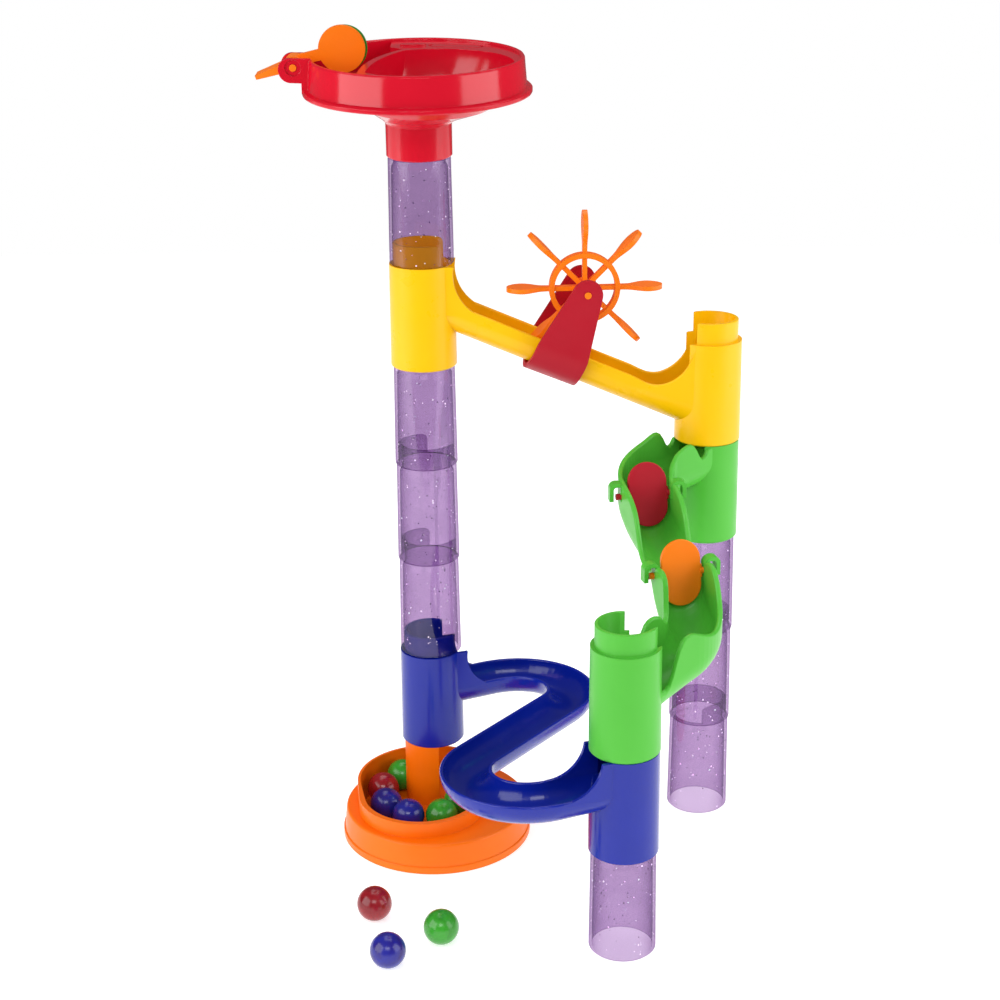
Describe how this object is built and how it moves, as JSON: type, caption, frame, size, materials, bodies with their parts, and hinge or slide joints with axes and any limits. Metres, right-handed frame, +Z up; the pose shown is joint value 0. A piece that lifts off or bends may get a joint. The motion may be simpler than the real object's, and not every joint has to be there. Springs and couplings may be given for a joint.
{
  "type": "marble run",
  "caption": "Stacked-tube marble run with a red funnel and tipping lever, yellow ramp with a paddle wheel, green ramp with swinging gates, blue S ramp and orange catch tray.",
  "frame": {"origin": "foot of the tallest tower's axis, on the face the tray rests on", "axes": "+Z up along the tallest tower, +X from that tower along the yellow ramp towards the middle tower, +Y to the back, away from the front tower"},
  "size_m": [0.2222, 0.2087, 0.39],
  "materials": {
    "clear_purple": "transparent, with glitter in it",
    "yellow": "moulded gloss",
    "blue": "moulded gloss",
    "green": "moulded semi-gloss",
    "crimson": "moulded satin",
    "orange": "moulded semi-gloss",
    "red": "moulded gloss",
    "marble_green": "polished",
    "marble_red": "polished",
    "marble_blue": "polished"
  },
  "bodies": {
    "run": {"clear_tube_a1": "clear_purple", "clear_tube_a2": "clear_purple", "clear_tube_a3": "clear_purple", "clear_tube_a4": "clear_purple", "clear_tube_b1": "clear_purple", "clear_tube_b2": "clear_purple", "clear_tube_b3": "clear_purple", "clear_tube_c1": "clear_purple", "yellow_ramp": "yellow", "blue_s_ramp": "blue", "green_gate_ramp": "green", "funnel": "red", "catch_tray": "orange"},
    "lever": {"funnel_lever": "orange", "lever_disc_back": "green"},
    "bracket": {"wheel_bracket": "crimson"},
    "wheel": {"paddle_wheel": "orange"},
    "gate_red": {"gate_red": "crimson"},
    "gate_orange": {"gate_orange": "orange"},
    "marble_tray_green_1": {"marble_tray_green_1": "marble_green"},
    "marble_tray_red": {"marble_tray_red": "marble_red"},
    "marble_tray_blue_1": {"marble_tray_blue_1": "marble_blue"},
    "marble_tray_blue_2": {"marble_tray_blue_2": "marble_blue"},
    "marble_tray_green_2": {"marble_tray_green_2": "marble_green"},
    "marble_tray_green_3": {"marble_tray_green_3": "marble_green"},
    "marble_floor_red": {"marble_floor_red": "marble_red"},
    "marble_floor_green": {"marble_floor_green": "marble_green"},
    "marble_floor_blue": {"marble_floor_blue": "marble_blue"}
  },
  "joints": [
    {"name": "lever_tip", "type": "hinge", "parent": "run", "child": "lever", "pos_m": [-0.0548, -0.00244, 0.3724], "axis": [0, 0.9983, 0.059], "range_deg": [-35, 12]},
    {"name": "bracket_slide", "type": "slide", "parent": "run", "child": "bracket", "axis": [0.9231, -0.0261, -0.3837], "range_m": [-0.014, 0.009]},
    {"name": "wheel_spin", "type": "hinge", "parent": "bracket", "child": "wheel", "pos_m": [0.07562, -0.00214, 0.26907], "axis": [-0.059, 0.9983, 0], "continuous": true},
    {"name": "gate_red_swing", "type": "hinge", "parent": "run", "child": "gate_red", "pos_m": [0.10345, -0.042, 0.1806], "axis": [0.9721, 0.2348, 0], "range_deg": [-35, 14]},
    {"name": "gate_orange_swing", "type": "hinge", "parent": "run", "child": "gate_orange", "pos_m": [0.1153, -0.08458, 0.1587], "axis": [0.9633, 0.2685, 0], "range_deg": [-35, 10]},
    {"name": "marble_tray_green_1_lift", "type": "slide", "parent": "run", "child": "marble_tray_green_1", "axis": [0, 0, 1], "range_m": [0, 0.012]},
    {"name": "marble_tray_red_lift", "type": "slide", "parent": "run", "child": "marble_tray_red", "axis": [0, 0, 1], "range_m": [0, 0.012]},
    {"name": "marble_tray_blue_1_lift", "type": "slide", "parent": "run", "child": "marble_tray_blue_1", "axis": [0, 0, 1], "range_m": [0, 0.012]},
    {"name": "marble_tray_blue_2_lift", "type": "slide", "parent": "run", "child": "marble_tray_blue_2", "axis": [0, 0, 1], "range_m": [0, 0.012]},
    {"name": "marble_tray_green_2_lift", "type": "slide", "parent": "run", "child": "marble_tray_green_2", "axis": [0, 0, 1], "range_m": [0, 0.012]},
    {"name": "marble_tray_green_3_lift", "type": "slide", "parent": "run", "child": "marble_tray_green_3", "axis": [0, 0, 1], "range_m": [0, 0.012]},
    {"name": "marble_floor_red_lift", "type": "slide", "parent": "run", "child": "marble_floor_red", "axis": [0, 0, 1], "range_m": [0, 0.02]},
    {"name": "marble_floor_green_lift", "type": "slide", "parent": "run", "child": "marble_floor_green", "axis": [0, 0, 1], "range_m": [0, 0.02]},
    {"name": "marble_floor_blue_lift", "type": "slide", "parent": "run", "child": "marble_floor_blue", "axis": [0, 0, 1], "range_m": [0, 0.02]}
  ]
}
